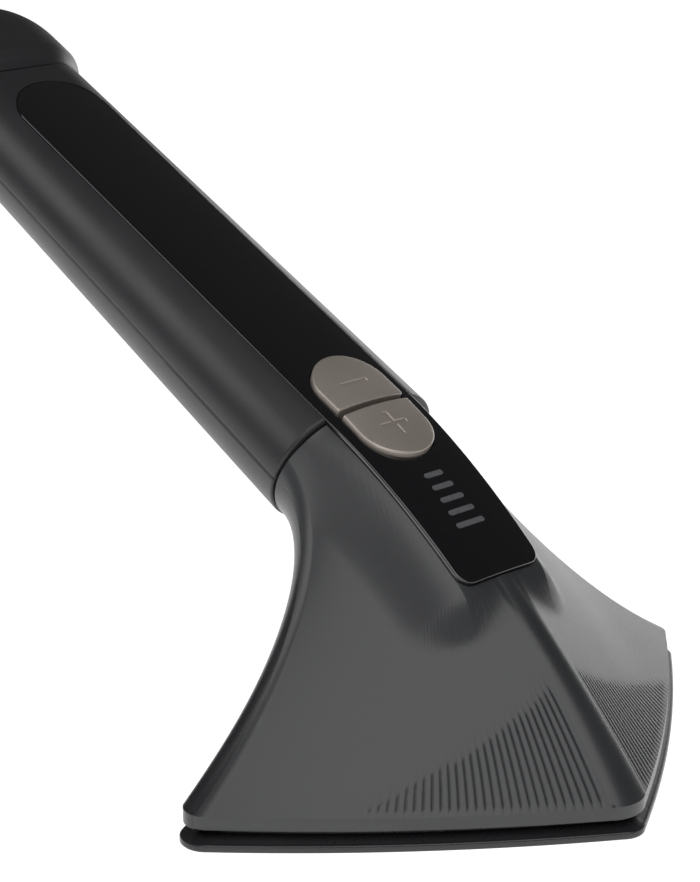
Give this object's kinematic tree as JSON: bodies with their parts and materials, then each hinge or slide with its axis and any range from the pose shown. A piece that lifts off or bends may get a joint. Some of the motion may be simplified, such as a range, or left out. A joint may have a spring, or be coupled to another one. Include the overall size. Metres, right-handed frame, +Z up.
{
  "type": "garment steamer",
  "caption": "Steam head of a garment steamer: triangular hood over a flat steam plate, on a straight handle with a glossy panel, press buttons and a socket for the steam hose",
  "frame": {"origin": "centre of the steam face, on the plane that the steamer stands on", "axes": "+Z up out of the top of the head, +Y back towards the handle, +X to the right seen from behind the handle's end, mirror plane at X = 0"},
  "size_m": [0.1458, 0.2521, 0.1409],
  "materials": {
    "hood_plastic": "smoky dark grey moulded plastic, semi gloss",
    "shell_plastic": "black moulded plastic, satin",
    "plate_steel": "polished stainless steam plate",
    "gasket_silicone": "red-brown silicone rubber",
    "cast_aluminium": "die-cast aluminium, as cast",
    "element_steel": "oxidised steel sheath",
    "screw_steel": "zinc plated steel",
    "thermostat_ceramic": "cream phenolic and ceramic",
    "mica_shield": "pressed mica sheet",
    "tube_silicone": "translucent silicone tube",
    "inlet_aluminium": "turned aluminium",
    "handle_soft": "soft-touch charcoal plastic",
    "panel_gloss": "piano black gloss plastic",
    "board_green": "green solder mask on glass epoxy",
    "light_guide_acrylic": "grey tinted acrylic",
    "led_white": "white moulded light-emitting diodes",
    "switch_plastic": "black nylon switch bodies and plungers",
    "button_bronze": "warm taupe metallic lacquer, satin",
    "lead_insulation": "red silicone insulation"
  },
  "bodies": {
    "body": {"hood": "hood_plastic", "rear_shell": "shell_plastic", "base_frame": "shell_plastic", "steam_plate": "plate_steel", "plate_gasket": "gasket_silicone", "steam_chamber": "cast_aluminium", "chamber_cover": "cast_aluminium", "heating_element": "element_steel", "cover_screws": "screw_steel", "chamber_screws": "screw_steel", "thermostat": "thermostat_ceramic", "thermal_fuse": "thermostat_ceramic", "heat_shield": "mica_shield", "steam_tube": "tube_silicone", "tube_clamps": "screw_steel", "hose_inlet": "inlet_aluminium", "handle_upper_shell": "handle_soft", "handle_lower_shell": "handle_soft", "end_cap": "handle_soft", "shell_screws": "screw_steel", "control_panel": "panel_gloss", "control_board": "board_green", "board_screws": "screw_steel", "light_guide": "light_guide_acrylic", "led_chips": "led_white", "minus_switch": "switch_plastic", "plus_switch": "switch_plastic", "heater_leads": "lead_insulation"},
    "minus_button": {"minus_button": "button_bronze", "minus_plunger": "switch_plastic"},
    "plus_button": {"plus_button": "button_bronze", "plus_plunger": "switch_plastic"}
  },
  "joints": [
    {"name": "minus_button_press", "type": "slide", "parent": "body", "child": "minus_button", "axis": [0, 0.4003, -0.9164], "range_m": [0, 0.0008], "stiffness_N_per_m": 2500, "springref_m": -0.0004},
    {"name": "plus_button_press", "type": "slide", "parent": "body", "child": "plus_button", "axis": [0, 0.4003, -0.9164], "range_m": [0, 0.0008], "stiffness_N_per_m": 2500, "springref_m": -0.0004}
  ]
}
